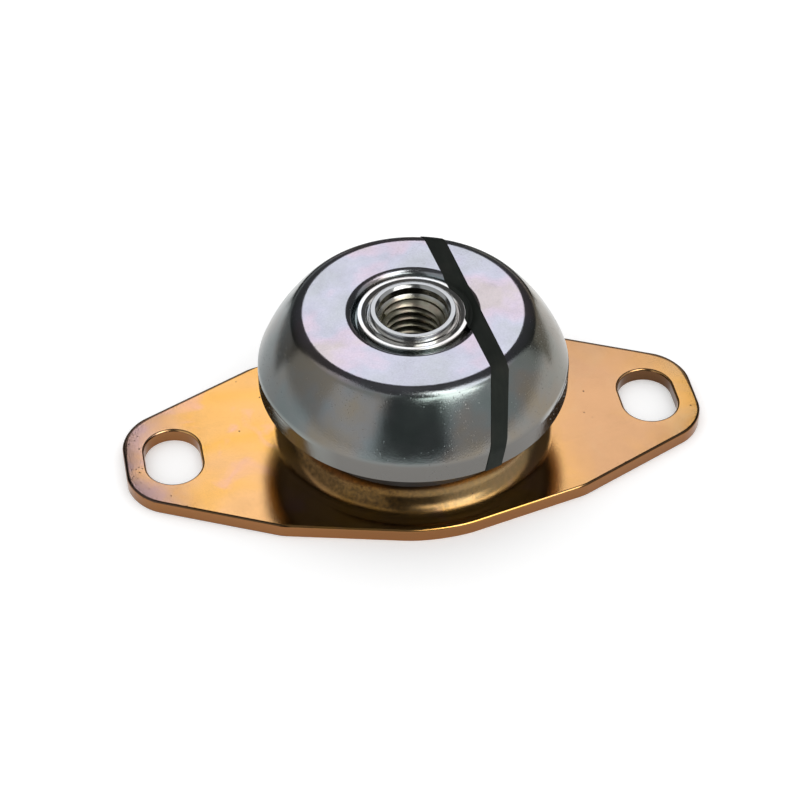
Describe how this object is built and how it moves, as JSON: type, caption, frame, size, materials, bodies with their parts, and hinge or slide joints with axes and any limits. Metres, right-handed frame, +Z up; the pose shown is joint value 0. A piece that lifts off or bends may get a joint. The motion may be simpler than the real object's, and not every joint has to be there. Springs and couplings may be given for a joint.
{
  "type": "rubber anti-vibration mount",
  "caption": "Captive rubber mount: a domed steel cap over a moulded rubber ring on a slotted lozenge base plate, with a threaded steel bush staked into the dome.",
  "frame": {"origin": "centre of the base plate's underside, on the axis of the bush", "axes": "+Z up along the bush's axis, +X along the length of the base plate, through both slots"},
  "size_m": [0.1144, 0.06, 0.0332],
  "materials": {
    "yellow_zinc_steel": "satin",
    "clear_zinc_steel": "satin",
    "bush_zinc_steel": "satin",
    "washer_zinc_steel": "satin",
    "stripe_paint": "matte",
    "black_rubber": "matte"
  },
  "bodies": {
    "root": {"base_plate": "yellow_zinc_steel", "dome_cap": "clear_zinc_steel", "rubber_body": "black_rubber", "centre_bush": "bush_zinc_steel", "rebound_washer": "washer_zinc_steel", "colour_stripe": "stripe_paint"}
  },
  "joints": []
}
